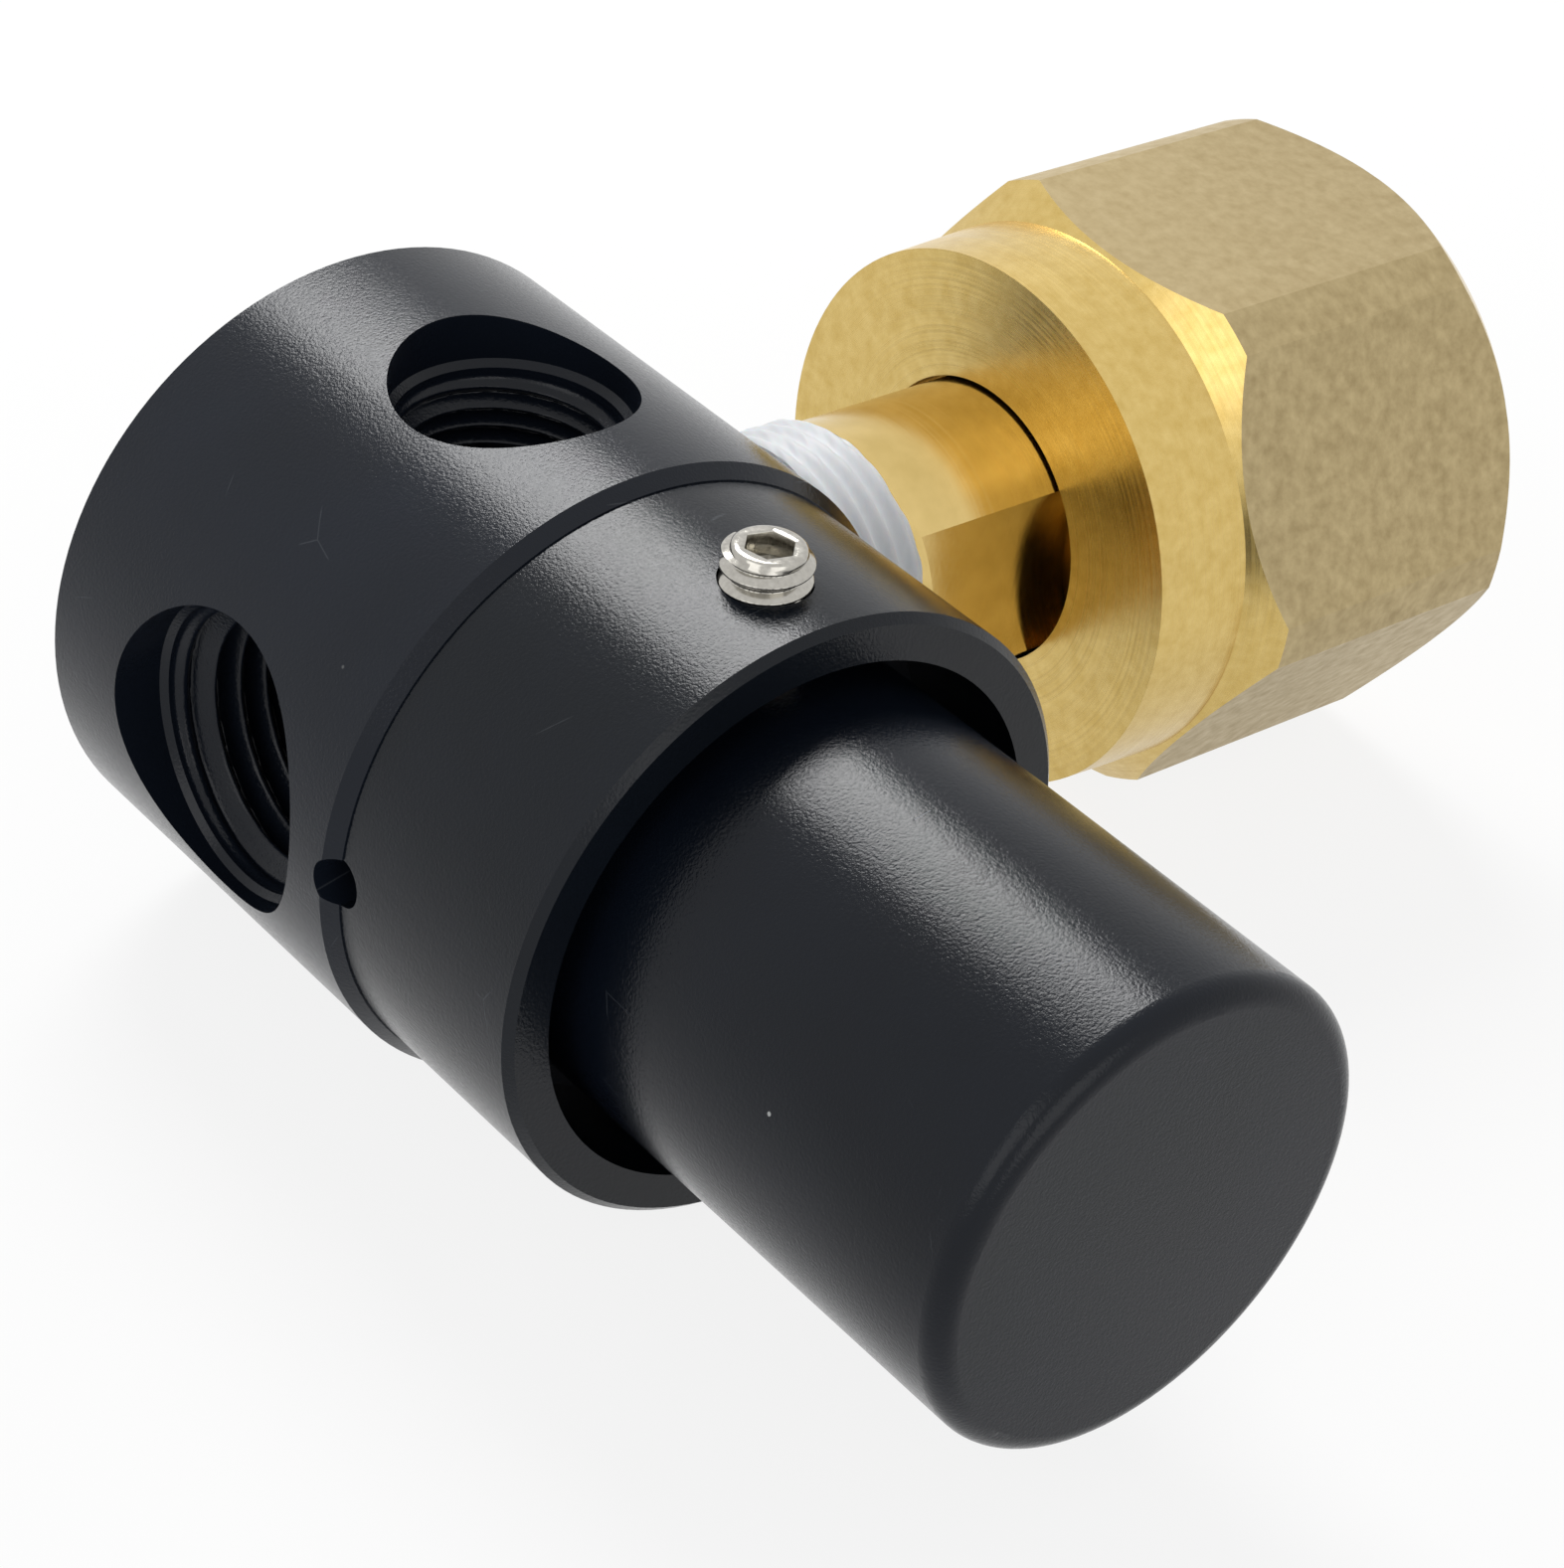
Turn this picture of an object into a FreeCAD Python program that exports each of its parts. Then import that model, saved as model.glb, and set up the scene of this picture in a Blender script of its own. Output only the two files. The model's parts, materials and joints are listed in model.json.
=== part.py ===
"""Piston pressure regulator with a gas-cylinder nut, as a parametric FreeCAD document.

The origin is the centre of the body's flat rear face. +X is the main axis and points out through
the adjusting knob, +Y points out through the cylinder nut, and +Z through the small upper port.
All sizes are millimetres. Every driving size is one row of SIZES, every size worked out from them
is one row of DERIVED, and both go into the spreadsheet that the sketches are bound to.
"""
import FreeCAD, Part
import Sketcher
import os

# ------------------------------------------------------------------------------- driving sizes
SIZES = {
    # Body: 1-1/4 inch bar with a chamfered front edge, and a spigot in front for the bonnet.
    "body_radius": 15.875, "body_length": 23.0, "front_chamfer_run": 0.7, "front_chamfer_drop": 0.55,
    "rear_chamfer": 0.4, "spigot_step": 3.475, "spigot_length": 3.0, "spigot_wall": 2.9,
    "chamber_depth": 5.0, "valve_bore": 2.9, "vent_radius": 1.2,
    # Ports, set back from the body's front edge. The outlets share one plane, behind the inlet's.
    "inlet_setback": 9.54, "outlet_setback": 10.25, "port_depth": 8.875, "large_port_radius": 6.85,
    "small_port_radius": 5.35, "large_lip_step": 0.3, "small_lip_step": 0.35, "lip_depth": 2.4,
    "lip_bevel": 0.3, "inlet_passage": 1.6, "outlet_passage": 1.1, "outlet_passage_rise": 1.3,
    # Valve: poppet, seal, seat and the ring that holds the seat.
    "seat_step": 0.5, "seat_length": 2.0, "seat_bevel": 0.3, "orifice": 1.1, "seat_lip_width": 0.4,
    "retainer_step": 0.5, "retainer_length": 2.6, "retainer_recess": 0.4, "retainer_socket": 3.4,
    "retainer_socket_depth": 1.82, "poppet_play": 0.4, "poppet_length": 5.8, "poppet_pin": 0.6,
    "seal_inset": 0.6, "seal_length": 1.2, "poppet_spring_room": 3.5, "poppet_spring_radius": 1.8,
    "poppet_spring_wire": 0.3, "poppet_spring_turns": 4.0, "poppet_pilot_radius": 1.2,
    "poppet_pilot_length": 1.2, "valve_gap": 0.05,
    # Piston, its stem and its ring.
    "piston_thickness": 3.0, "piston_rest_gap": 0.3, "piston_travel": 0.65, "piston_stem": 1.2,
    "stem_entry": 0.6, "oring_section": 0.79, "oring_squeeze_gap": 0.02, "groove_width": 1.9,
    "groove_start": 0.5,
    # Bonnet and knob. The knob's skirt screws over the bonnet's boss, inside the bonnet's recess.
    "bonnet_step": 0.625, "bonnet_length": 12.3, "bonnet_chamfer": 0.4, "bonnet_wall": 2.15,
    "bonnet_floor_thickness": 1.8, "spigot_end_gap": 0.2, "boss_wall": 1.9, "boss_chamfer": 0.5,
    "boss_end_gap": 2.1, "knob_side_gap": 1.6, "knob_reach": 23.3, "knob_fillet": 1.1, "knob_end_wall": 6.0,
    "skirt_wall": 3.0, "skirt_gap": 1.0, "skirt_chamfer": 0.3,
    # Main spring, follower and thrust ball.
    "spring_side_gap": 0.45, "spring_wire": 0.85, "spring_turns": 6.0, "pilot_side_gap": 0.45,
    "pilot_length": 2.5, "follower_thickness": 2.5, "follower_nose": 3.0, "follower_nose_length": 4.65,
    "ball_radius": 1.6, "ball_cover": 0.8,
    # Lock screw (8-32) and its nylon pellet.
    "lock_setback": 2.75, "lock_screw_radius": 2.04, "lock_screw_length": 2.8, "lock_chamfer": 0.3,
    "lock_socket": 2.0, "lock_socket_depth": 1.4, "pellet_radius": 2.0, "pellet_gap": 0.3,
    "pellet_length": 2.3,
    # Inlet nipple, with two wrench flats.
    "nipple_step": 0.4, "nipple_lead": 4.125, "nipple_end_gap": 0.4, "nipple_thread_gap": 0.1,
    "nipple_bore": 2.0, "flat_cut": 1.69, "flat_setback": 0.6, "flat_length": 11.9,
    "flange_side_gap": 1.08, "flange_gap": 0.3, "flange_thickness": 4.0, "filter_radius": 3.0,
    "filter_length": 4.0, "filter_end_gap": 0.5, "tape_build": 0.55, "tape_edge": 0.25,
    "washer_thickness": 2.0, "washer_hole": 3.4, "washer_inset": 0.2, "washer_end_gap": 0.2,
    # Cylinder nut: 1-1/8 inch hexagon, corners turned down. Its turned radii are set from half
    # the distance across its flats.
    "nut_flats": 28.575, "nut_length": 24.3, "nut_setback": 9.4, "nut_rim_drop": 0.3875,
    "nut_collar_drop": 0.1875, "nut_corner_rise": 1.5625, "nut_end_rise": 0.0125, "collar_length": 5.45,
    "nut_near_slope": 0.95, "nut_far_slope": 1.15, "nut_turn": 3.6, "nut_wall": 4.6,
    "nut_bore_gap": 0.2, "nut_thread_radius": 10.48, "nut_relief_step": 0.42, "nut_mouth_chamfer": 0.6,
    # Shared clearances, and how far a cutting outline runs past the surface that it cuts.
    "thread_gap": 0.05, "slide_gap": 0.08, "seat_gap": 0.1, "overshoot": 1.0,
}

# ------------------------------------------------------------------ sizes worked out from those
DERIVED = {
    "chamfer_start": "body_length - front_chamfer_run",
    "band_radius": "body_radius - front_chamfer_drop",
    "spigot_radius": "body_radius - spigot_step",
    "spigot_end": "body_length + spigot_length",
    "piston_bore": "spigot_radius - spigot_wall",
    "chamber_floor": "spigot_end - chamber_depth",
    "inlet_x": "body_length - inlet_setback",
    "outlet_x": "body_length - outlet_setback",
    "port_bottom": "body_radius - port_depth",
    "large_lip_radius": "large_port_radius + large_lip_step",
    "small_lip_radius": "small_port_radius + small_lip_step",
    "lip_floor": "body_radius - lip_depth",
    "thread_start": "lip_floor - lip_bevel",
    "passage_height": "port_bottom + outlet_passage_rise",
    "retainer_front": "chamber_floor - retainer_recess",
    "seat_front": "retainer_front - retainer_length",
    "seat_back": "seat_front - seat_length",
    "seat_radius": "valve_bore + seat_step",
    "retainer_radius": "seat_radius + retainer_step",
    "seat_lip": "orifice + seat_lip_width",
    "poppet_front": "seat_back - piston_travel - valve_gap",
    "poppet_back": "poppet_front - poppet_length",
    "poppet_radius": "valve_bore - poppet_play",
    "seal_radius": "poppet_radius - seal_inset",
    "seal_back": "poppet_front - seal_length",
    "poppet_pilot_back": "poppet_back - poppet_pilot_length",
    "valve_bore_end": "poppet_back - poppet_spring_room",
    "piston_back": "chamber_floor + piston_rest_gap",
    "piston_front": "piston_back + piston_thickness",
    "piston_radius": "piston_bore - slide_gap",
    "oring_centre": "piston_bore - oring_squeeze_gap - oring_section",
    "piston_groove": "oring_centre - oring_section",
    "groove_back": "piston_back + groove_start",
    "stem_back": "retainer_front - stem_entry",
    "pin_front": "stem_back - seat_gap",
    "bonnet_radius": "body_radius - bonnet_step",
    "bonnet_face": "body_length + bonnet_length",
    "bonnet_floor": "spigot_end + spigot_end_gap",
    "recess_floor": "bonnet_floor + bonnet_floor_thickness",
    "recess_radius": "bonnet_radius - bonnet_wall",
    "knob_radius": "recess_radius - knob_side_gap",
    "boss_radius": "knob_radius - skirt_wall",
    "boss_bore": "boss_radius - boss_wall",
    "knob_face": "bonnet_face + knob_reach",
    "knob_inner_end": "knob_face - knob_end_wall",
    "knob_bore": "boss_radius + thread_gap",
    "skirt_end": "recess_floor + skirt_gap",
    "boss_end": "knob_inner_end - boss_end_gap",
    "ball_x": "knob_inner_end - ball_radius - thread_gap",
    "nose_end": "ball_x - ball_cover",
    "cup_reach": "(ball_radius + thread_gap) * sqrt(2)",
    "follower_radius": "boss_bore - slide_gap",
    "follower_front": "nose_end - follower_nose_length",
    "follower_x": "follower_front - follower_thickness",
    "spring_radius": "boss_bore - spring_side_gap - spring_wire",
    "pilot_radius": "spring_radius - spring_wire - pilot_side_gap",
    "lock_x": "recess_floor + lock_setback",
    "lock_hole": "pellet_radius + seat_gap",
    "pellet_bottom": "knob_radius + pellet_gap",
    "pellet_top": "pellet_bottom + pellet_length",
    "lock_screw_bottom": "pellet_top + thread_gap",
    "lock_screw_top": "lock_screw_bottom + lock_screw_length",
    "nipple_radius": "large_port_radius + nipple_step",
    "nipple_thread": "large_port_radius - nipple_thread_gap",
    "nipple_start": "port_bottom + nipple_end_gap",
    "nipple_shoulder": "body_radius + nipple_lead",
    "flat_distance": "nipple_radius - flat_cut",
    "flat_start": "nipple_shoulder + flat_setback",
    "flat_end": "flat_start + flat_length",
    "flat_reach": "nipple_radius + overshoot",
    "tape_radius": "large_lip_radius + tape_build",
    "nut_back": "nipple_shoulder + nut_setback",
    "nut_floor": "nut_back + nut_wall",
    "nut_face": "nut_back + nut_length",
    "nut_rim": "nut_flats / 2 - nut_rim_drop",
    "nut_collar": "nut_flats / 2 - nut_collar_drop",
    "nut_corner": "nut_flats / 2 + nut_corner_rise",
    "nut_end_radius": "nut_flats / 2 + nut_end_rise",
    "nut_bore": "nipple_radius + nut_bore_gap",
    "nut_relief": "nut_thread_radius + nut_relief_step",
    "collar_end": "nut_back + collar_length",
    "near_corner": "collar_end + nut_near_slope * (nut_corner - nut_collar)",
    "far_corner": "nut_face - nut_far_slope * (nut_corner - nut_end_radius)",
    "nut_corner_full": "nut_flats / sqrt(3)",
    "flange_radius": "nut_thread_radius - flange_side_gap",
    "flange_back": "nut_floor + flange_gap",
    "flange_front": "flange_back + flange_thickness",
    "filter_back": "flange_front - filter_length",
    "washer_radius": "flange_radius - washer_inset",
    "washer_front": "flange_front + washer_thickness",
    "nut_thread_start": "washer_front + washer_end_gap",
}

doc = FreeCAD.newDocument("regulator")
sheet = doc.addObject("Spreadsheet::Sheet", "Sizes")


def fill_sheet():
    """Write the driving sizes as plain numbers and the derived ones as formulas, each with an alias.

    Every alias is set before any formula is written, so that a formula may name a later row.
    """
    rows = [(name, str(value)) for name, value in SIZES.items()]
    rows += [(name, "=" + formula) for name, formula in DERIVED.items()]
    for row, (name, content) in enumerate(rows, start=1):
        sheet.set(f"A{row}", name)
        sheet.setAlias(f"B{row}", name)
    for row, (name, content) in enumerate(rows, start=1):
        sheet.set(f"B{row}", content)
    doc.recompute()


def bound(formula):
    """Turn a formula of size names into an expression that reads the sheet."""
    words, word = [], ""
    for sign in formula + " ":
        if sign.isalnum() or sign == "_":
            word += sign
            continue
        words.append("Sizes." + word if word in SIZES or word in DERIVED else word)
        words.append(sign)
        word = ""
    return "".join(words).strip()


def value_of(formula):
    """The number that a formula gives with the sheet's present sizes."""
    return float(sheet.evalExpression(bound(formula)))


# ------------------------------------------------------------------------- sketching and turning
def plane_of(body, role):
    """The body's own origin plane or axis with this role, such as XY_Plane."""
    return next(item for item in body.Origin.OriginFeatures if item.Role == role)


def outline(body, name, corners, role="XY_Plane", shift=None):
    """A closed sketch through corners, each a pair of formulas; every corner is bound to the sheet."""
    sketch = body.newObject("Sketcher::SketchObject", name)
    sketch.AttachmentSupport = [(plane_of(body, role), "")]
    sketch.MapMode = "FlatFace"
    for side, formula in (shift or {}).items():
        sketch.setExpression(f"AttachmentOffset.Base.{side}", bound(formula))
    points = [FreeCAD.Vector(value_of(across), value_of(up), 0) for across, up in corners]
    for index, point in enumerate(points):
        sketch.addGeometry(Part.LineSegment(point, points[(index + 1) % len(points)]), False)
    for index, (across, up) in enumerate(corners):
        follower = (index + 1) % len(points)
        sketch.addConstraint(Sketcher.Constraint("Coincident", index, 2, follower, 1))
        corner = points[index]
        for kind, formula, size in (("DistanceX", across, corner.x), ("DistanceY", up, corner.y)):
            number = sketch.addConstraint(Sketcher.Constraint(kind, -1, 1, index, 1, size))
            sketch.setExpression(f"Constraints[{number}]", bound(formula))
    return sketch


def revolve(body, kind, name, corners, role="XY_Plane", axis="H_Axis", shift=None):
    """Turn a closed outline about one of its sketch's axes, adding or cutting."""
    sketch = outline(body, name + "_outline", corners, role, shift)
    feature = body.newObject("PartDesign::" + kind, name)
    feature.Profile = sketch
    feature.ReferenceAxis = (sketch, [axis])
    feature.Angle = 360.0
    body.Tip = feature
    return feature


def new_body(name):
    """An empty body whose label names its file."""
    body = doc.addObject("PartDesign::Body", name)
    body.Label = name
    return body


def turned(name, corners):
    """A body turned about its own X axis from corners of (along, radius)."""
    body = new_body(name)
    revolve(body, "Revolution", name + "_turning", corners)
    return body


def lay_along_y(body):
    """Stand a body turned along X on the inlet's axis, pointing along +Y."""
    body.Placement = FreeCAD.Placement(FreeCAD.Vector(), FreeCAD.Rotation(FreeCAD.Vector(0, 0, 1), 90))
    body.setExpression("Placement.Base.x", bound("inlet_x"))


def lay_along_z(body):
    """Stand a body turned along X on the lock screw's axis, pointing along +Z."""
    body.Placement = FreeCAD.Placement(FreeCAD.Vector(), FreeCAD.Rotation(FreeCAD.Vector(0, 1, 0), -90))
    body.setExpression("Placement.Base.x", bound("lock_x"))


def cut_outline(body, name, corners, length, role="YZ_Plane", shift=None, backward=False):
    """Pocket a closed outline straight into a body, and check that it removed something."""
    doc.recompute()
    before = body.Shape.Volume
    sketch = outline(body, name + "_outline", corners, role, shift)
    pocket = body.newObject("PartDesign::Pocket", name)
    pocket.Profile = sketch
    pocket.setExpression("Length", bound(length))
    pocket.Reversed = backward
    body.Tip = pocket
    doc.recompute()
    if body.Shape.Volume >= before - 1e-3:
        raise RuntimeError(f"{name} cut nothing")
    return pocket


def bore(body, name, corners, role="XY_Plane", axis="V_Axis", shift=None):
    """Groove a turned hollow into a body, and check that it removed something."""
    doc.recompute()
    before = body.Shape.Volume
    revolve(body, "Groove", name, corners, role, axis, shift)
    doc.recompute()
    if body.Shape.Volume >= before - 1e-3:
        raise RuntimeError(f"{name} cut nothing")


def hexagon(flats, turn="0"):
    """Corners of a hexagon with this distance across flats, its first corner at this angle."""
    radius = f"({flats}) / sqrt(3)"
    return [(f"{radius} * cos({turn} + {60 * k})", f"{radius} * sin({turn} + {60 * k})") for k in range(6)]


# ------------------------------------------------------------------------------------ the body
def port_outline(side, thread, lip, passage_end=None):
    """Half section of a tapped port about its own axis: smooth lip, bevel, thread and flat bottom.

    side is "" for a port that points the positive way and "-" for the other.
    """
    surface = f"{side}(body_radius + overshoot)"
    corners = [("0", surface), (lip, surface), (lip, f"{side}lip_floor"), (thread, f"{side}thread_start"),
               (thread, f"{side}port_bottom")]
    if passage_end:
        corners += [("inlet_passage", f"{side}port_bottom"), ("inlet_passage", passage_end),
                    ("0", passage_end)]
    else:
        corners += [("0", f"{side}port_bottom")]
    return corners


def passage(body, name, role, shift):
    """A drilled way from the piston chamber's floor back into an outlet port."""
    corners = [("outlet_x", "0"), ("chamber_floor + overshoot", "0"),
               ("chamber_floor + overshoot", "outlet_passage"), ("outlet_x", "outlet_passage")]
    bore(body, name, corners, role, "H_Axis", shift)


def vent(body, name):
    """The breather hole on the -Y side, drilled on the line where body and bonnet meet."""
    corners = [("0", "-(spigot_radius + thread_gap)"), ("vent_radius", "-(spigot_radius + thread_gap)"),
               ("vent_radius", "-(body_radius + overshoot)"), ("0", "-(body_radius + overshoot)")]
    bore(body, name, corners, "XY_Plane", "V_Axis", {"x": "body_length"})


def make_main_body():
    """The aluminium body: stepped blind bore, front spigot, three ports, passages and vent."""
    body = turned("main_body", [
        ("0", "body_radius - rear_chamfer"), ("rear_chamfer", "body_radius"),
        ("chamfer_start", "body_radius"),
        ("body_length", "band_radius"), ("body_length", "spigot_radius"), ("spigot_end", "spigot_radius"),
        ("spigot_end", "piston_bore"), ("chamber_floor", "piston_bore"), ("chamber_floor", "retainer_radius"),
        ("seat_front", "retainer_radius"), ("seat_front", "seat_radius"), ("seat_back", "seat_radius"),
        ("seat_back", "valve_bore"), ("valve_bore_end", "valve_bore"), ("valve_bore_end", "0"), ("0", "0")])
    at_inlet, at_outlets = {"x": "inlet_x"}, {"x": "outlet_x"}
    large = ("large_port_radius", "large_lip_radius")
    bore(body, "inlet_port", port_outline("", *large, "valve_bore - overshoot"), shift=at_inlet)
    bore(body, "left_port", port_outline("-", *large), shift=at_outlets)
    bore(body, "upper_port", port_outline("", "small_port_radius", "small_lip_radius"), "XZ_Plane",
         shift=at_outlets)
    passage(body, "left_passage", "XY_Plane", {"y": "-passage_height"})
    passage(body, "upper_passage", "XZ_Plane", {"y": "passage_height"})
    vent(body, "body_vent")
    return body


# ------------------------------------------------------------------------------------ the valve
def ring(name, along, radius, section):
    """A rubber ring: a torus about the X axis."""
    torus = doc.addObject("Part::Torus", name)
    torus.Label = name
    torus.Placement = FreeCAD.Placement(FreeCAD.Vector(), FreeCAD.Rotation(FreeCAD.Vector(0, 1, 0), 90))
    torus.setExpression("Placement.Base.x", bound(along))
    torus.setExpression("Radius1", bound(radius))
    torus.setExpression("Radius2", bound(section))
    return torus


def make_valve():
    """Seat, seat retainer, poppet and the poppet's soft seal."""
    turned("valve_seat", [
        ("seat_back", "orifice"), ("seat_back", "seat_lip"), ("seat_back + seat_bevel", "seat_radius"),
        ("seat_front", "seat_radius"), ("seat_front", "orifice")])
    retainer = turned("seat_retainer", [
        ("seat_front", "orifice"), ("seat_front", "retainer_radius - thread_gap"),
        ("retainer_front", "retainer_radius - thread_gap"), ("retainer_front", "orifice")])
    cut_outline(retainer, "retainer_hexagon", hexagon("retainer_socket"), "retainer_socket_depth",
                shift={"z": "retainer_front"})
    turned("poppet", [
        ("poppet_pilot_back", "0"), ("poppet_pilot_back", "poppet_pilot_radius"),
        ("poppet_back", "poppet_pilot_radius"),
        ("poppet_back", "poppet_radius"), ("poppet_front", "poppet_radius"), ("poppet_front", "seal_radius"),
        ("seal_back", "seal_radius"), ("seal_back", "poppet_pin"), ("pin_front", "poppet_pin"),
        ("pin_front", "0")])
    turned("poppet_seal", [
        ("seal_back", "poppet_pin"), ("seal_back", "seal_radius"), ("poppet_front", "seal_radius"),
        ("poppet_front", "poppet_pin")])


def make_piston():
    """Piston with its ring groove, the stem that meets the poppet's pin and the spring pilot."""
    turned("piston", [
        ("stem_back", "0"), ("stem_back", "piston_stem"), ("piston_back", "piston_stem"),
        ("piston_back", "piston_radius"), ("groove_back", "piston_radius"), ("groove_back", "piston_groove"),
        ("groove_back + groove_width", "piston_groove"), ("groove_back + groove_width", "piston_radius"),
        ("piston_front", "piston_radius"), ("piston_front", "pilot_radius"),
        ("piston_front + pilot_length", "pilot_radius"), ("piston_front + pilot_length", "0")])
    ring("piston_oring", "groove_back + groove_width / 2", "oring_centre", "oring_section")


def spring(name, start, end, radius, wire, turns):
    """A compression spring: a round wire swept along a helix about the X axis."""
    body = new_body(name)
    section = body.newObject("Sketcher::SketchObject", name + "_wire")
    section.AttachmentSupport = [(plane_of(body, "XY_Plane"), "")]
    section.MapMode = "FlatFace"
    centre = FreeCAD.Vector(value_of(f"{start} + {wire}"), value_of(radius), 0)
    section.addGeometry(Part.Circle(centre, FreeCAD.Vector(0, 0, 1), value_of(wire)), False)
    across = f"{start} + {wire}"
    for kind, formula, size in (("DistanceX", across, centre.x), ("DistanceY", radius, centre.y)):
        number = section.addConstraint(Sketcher.Constraint(kind, -1, 1, 0, 3, size))
        section.setExpression(f"Constraints[{number}]", bound(formula))
    number = section.addConstraint(Sketcher.Constraint("Radius", 0, value_of(wire)))
    section.setExpression(f"Constraints[{number}]", bound(wire))
    coil = body.newObject("PartDesign::AdditiveHelix", name + "_coil")
    coil.Profile = section
    coil.ReferenceAxis = (section, ["H_Axis"])
    coil.Mode = "height-turns-angle"
    coil.setExpression("Height", bound(f"{end} - ({start}) - 2 * {wire}"))
    coil.setExpression("Turns", bound(turns))
    body.Tip = coil
    return body


# -------------------------------------------------------------------------- bonnet and adjuster
def make_bonnet():
    """Bonnet: rear bore over the body's spigot, recess for the knob's skirt, hollow threaded boss."""
    bonnet = turned("bonnet", [
        ("body_length", "bonnet_radius"), ("bonnet_face - bonnet_chamfer", "bonnet_radius"),
        ("bonnet_face", "bonnet_radius - bonnet_chamfer"), ("bonnet_face", "recess_radius"),
        ("recess_floor", "recess_radius"), ("recess_floor", "boss_radius"),
        ("boss_end - boss_chamfer", "boss_radius"), ("boss_end", "boss_radius - boss_chamfer"),
        ("boss_end", "boss_bore"),
        ("bonnet_floor", "boss_bore"), ("bonnet_floor", "spigot_radius + thread_gap"),
        ("body_length", "spigot_radius + thread_gap")])
    bore(bonnet, "lock_hole_bore", [
        ("0", "recess_radius - overshoot"), ("lock_hole", "recess_radius - overshoot"),
        ("lock_hole", "bonnet_radius + overshoot"), ("0", "bonnet_radius + overshoot")],
        "XZ_Plane", "V_Axis", {"x": "lock_x"})
    vent(bonnet, "bonnet_vent")
    return bonnet


def round_edge(body, name, along, radius, size):
    """Fillet the circular edge of a turned body at this place along its axis."""
    doc.recompute()
    tip = body.Tip
    for number, edge in enumerate(tip.Shape.Edges, start=1):
        circle = edge.Curve
        if not isinstance(circle, Part.Circle):
            continue
        if abs(circle.Center.x - value_of(along)) < 1e-4 and abs(circle.Radius - value_of(radius)) < 1e-4:
            fillet = body.newObject("PartDesign::Fillet", name)
            fillet.Base = (tip, [f"Edge{number}"])
            fillet.setExpression("Radius", bound(size))
            body.Tip = fillet
            return fillet
    raise RuntimeError(f"{name}: no such edge")


def make_adjuster():
    """Knob with its skirt, the follower that pushes the main spring, and the thrust ball between."""
    knob = turned("adjusting_knob", [
        ("skirt_end", "knob_bore + skirt_chamfer"), ("skirt_end", "knob_radius - skirt_chamfer"),
        ("skirt_end + skirt_chamfer", "knob_radius"), ("knob_face", "knob_radius"), ("knob_face", "0"),
        ("knob_inner_end", "0"), ("knob_inner_end", "knob_bore"), ("skirt_end + skirt_chamfer", "knob_bore")])
    round_edge(knob, "knob_rounding", "knob_face", "knob_radius", "knob_fillet")
    turned("spring_follower", [
        ("follower_x - pilot_length", "0"), ("follower_x - pilot_length", "pilot_radius"),
        ("follower_x", "pilot_radius"), ("follower_x", "follower_radius"),
        ("follower_front", "follower_radius"),
        ("follower_front", "follower_nose"), ("nose_end", "follower_nose"),
        ("nose_end", "cup_reach - ball_cover"), ("ball_x - cup_reach", "0")])
    ball = doc.addObject("Part::Sphere", "thrust_ball")
    ball.Label = "thrust_ball"
    ball.setExpression("Radius", bound("ball_radius"))
    ball.setExpression("Placement.Base.x", bound("ball_x"))


def make_lock():
    """Lock screw with its hexagon socket, and the nylon pellet that it presses on the knob."""
    screw = turned("lock_screw", [
        ("lock_screw_bottom", "0"), ("lock_screw_bottom", "lock_screw_radius - lock_chamfer"),
        ("lock_screw_bottom + lock_chamfer", "lock_screw_radius"),
        ("lock_screw_top - lock_chamfer", "lock_screw_radius"),
        ("lock_screw_top", "lock_screw_radius - lock_chamfer"),
        ("lock_screw_top", "0")])
    cut_outline(screw, "lock_hexagon", hexagon("lock_socket"), "lock_socket_depth",
                shift={"z": "lock_screw_top"})
    pellet = turned("lock_pellet", [
        ("pellet_bottom", "0"), ("pellet_bottom", "pellet_radius"), ("pellet_top", "pellet_radius"),
        ("pellet_top", "0")])
    lay_along_z(screw)
    lay_along_z(pellet)


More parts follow.
